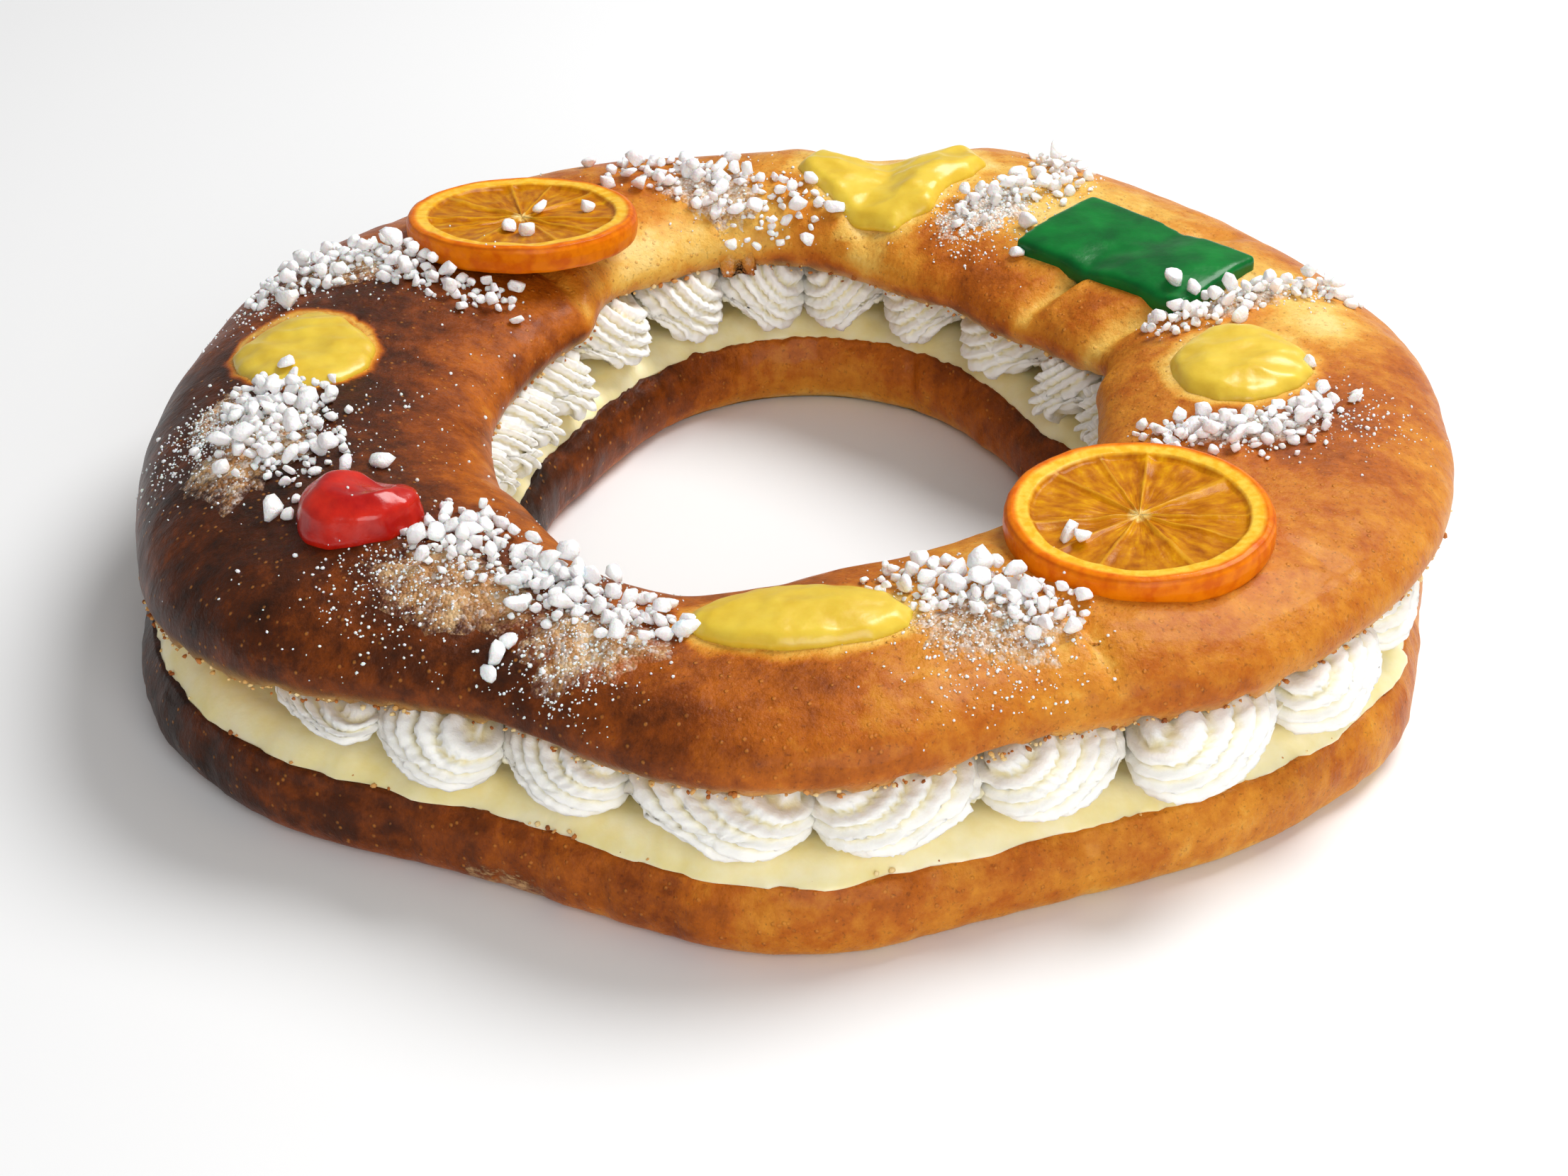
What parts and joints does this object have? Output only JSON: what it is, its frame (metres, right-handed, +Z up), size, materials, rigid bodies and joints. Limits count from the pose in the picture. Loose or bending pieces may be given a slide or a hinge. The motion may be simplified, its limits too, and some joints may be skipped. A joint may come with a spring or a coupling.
{
  "type": "filled ring cake",
  "caption": "Roscon de reyes: a sweet bread ring cut level, filled with pastry custard and piped whipped cream, its lid set with candied fruit, custard and sugar.",
  "frame": {"origin": "middle of the bounding box, on the flat underside of the lower half", "axes": "+Z up; -Y toward the front, the side the orange slice with the most cream below it lies on; +X to the right seen from the front"},
  "size_m": [0.3448, 0.3354, 0.0761],
  "materials": {
    "crust": "baked brown crust with a light egg-wash shine",
    "pastry_custard": "smooth, slightly wet",
    "whipped_cream": "matt, soft",
    "custard_patch": "baked custard with a smooth skin",
    "candied_orange": "sticky syrup gloss",
    "candied_green": "translucent, glossy",
    "candied_red": "wet gloss"
  },
  "bodies": {
    "root": {"bun_bottom": "crust", "custard_layer": "pastry_custard", "cream_rope_01": "whipped_cream", "cream_rope_02": "whipped_cream", "cream_rope_03": "whipped_cream", "cream_rope_04": "whipped_cream", "cream_rope_05": "whipped_cream", "cream_rope_06": "whipped_cream", "cream_rope_07": "whipped_cream", "cream_rope_08": "whipped_cream", "cream_rope_09": "whipped_cream", "cream_rope_10": "whipped_cream", "cream_rope_11": "whipped_cream", "cream_rope_12": "whipped_cream", "cream_rope_13": "whipped_cream", "cream_rope_14": "whipped_cream", "cream_rope_15": "whipped_cream", "cream_rope_16": "whipped_cream", "cream_rope_17": "whipped_cream", "cream_rope_18": "whipped_cream", "cream_rope_19": "whipped_cream", "cream_rope_20": "whipped_cream", "cream_rope_21": "whipped_cream", "cream_rope_22": "whipped_cream", "cream_rope_23": "whipped_cream", "cream_rope_24": "whipped_cream", "cream_rope_25": "whipped_cream", "bun_top": "crust", "orange_slice_front": "candied_orange", "orange_slice_back": "candied_orange", "candied_green": "candied_green", "candied_red": "candied_red", "custard_patch_left": "custard_patch", "custard_patch_front": "custard_patch", "custard_patch_right": "custard_patch", "custard_patch_back": "custard_patch"}
  },
  "joints": []
}
